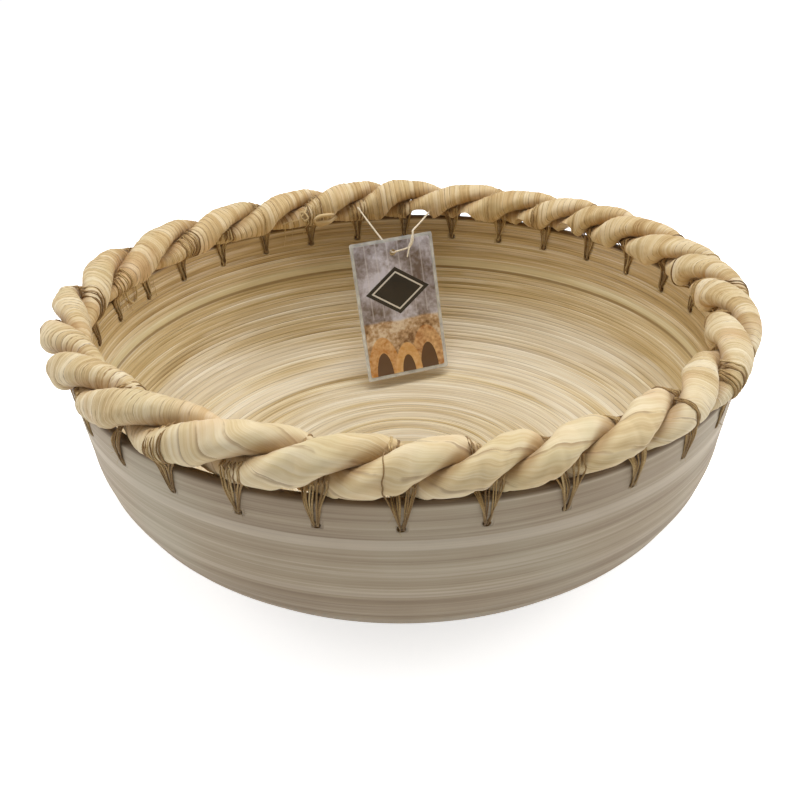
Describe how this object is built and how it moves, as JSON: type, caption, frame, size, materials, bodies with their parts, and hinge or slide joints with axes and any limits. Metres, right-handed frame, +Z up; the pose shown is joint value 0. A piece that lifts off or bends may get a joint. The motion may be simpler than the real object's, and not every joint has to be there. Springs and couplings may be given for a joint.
{
  "type": "bamboo bowl with rope rim",
  "caption": "Round bowl of coiled bamboo with a flat foot, a twisted husk rope lashed along its rim with twine ties, and a card tag hung inside on a thread.",
  "frame": {"origin": "centre of the flat foot, on the surface that the bowl stands on", "axes": "+Z up along the bowl's axis, -Y towards the front, with the tag hanging inside the back at +Y, +X to the right seen from the front"},
  "size_m": [0.3525, 0.3495, 0.1209],
  "materials": {
    "bamboo": "clear satin lacquer inside, pale grey wash outside",
    "husk": "dry fibrous plant husk, matt with a slight sheen",
    "jute": "rough brown twine",
    "card": "printed and laminated card",
    "cotton": "undyed cotton thread"
  },
  "bodies": {
    "bowl": {"bowl_shell": "bamboo", "rope_strand_a": "husk", "rope_strand_b": "husk", "stitch_01": "jute", "stitch_02": "jute", "stitch_03": "jute", "stitch_04": "jute", "stitch_05": "jute", "stitch_06": "jute", "stitch_07": "jute", "stitch_08": "jute", "stitch_09": "jute", "stitch_10": "jute", "stitch_11": "jute", "stitch_12": "jute", "stitch_13": "jute", "stitch_14": "jute", "stitch_15": "jute", "stitch_16": "jute", "stitch_17": "jute", "stitch_18": "jute", "stitch_19": "jute", "stitch_20": "jute", "stitch_21": "jute", "stitch_22": "jute", "stitch_23": "jute", "stitch_24": "jute", "stitch_25": "jute", "stitch_26": "jute", "stitch_27": "jute", "stitch_28": "jute", "stitch_29": "jute", "stitch_30": "jute", "stitch_31": "jute", "stitch_32": "jute"},
    "thread": {"tag_thread": "cotton"},
    "tag": {"hang_tag": "card"}
  },
  "joints": [
    {"name": "thread_swing", "type": "hinge", "parent": "bowl", "child": "thread", "pos_m": [-0.0268, 0.1458, 0.1097], "axis": [-0.9959, 0.0066, 0.0899], "range_deg": [0, 60]},
    {"name": "tag_swing", "type": "hinge", "parent": "thread", "child": "tag", "pos_m": [-0.0053, 0.1175, 0.0895], "axis": [-0.9505, -0.3082, -0.0389], "range_deg": [0, 30]}
  ]
}
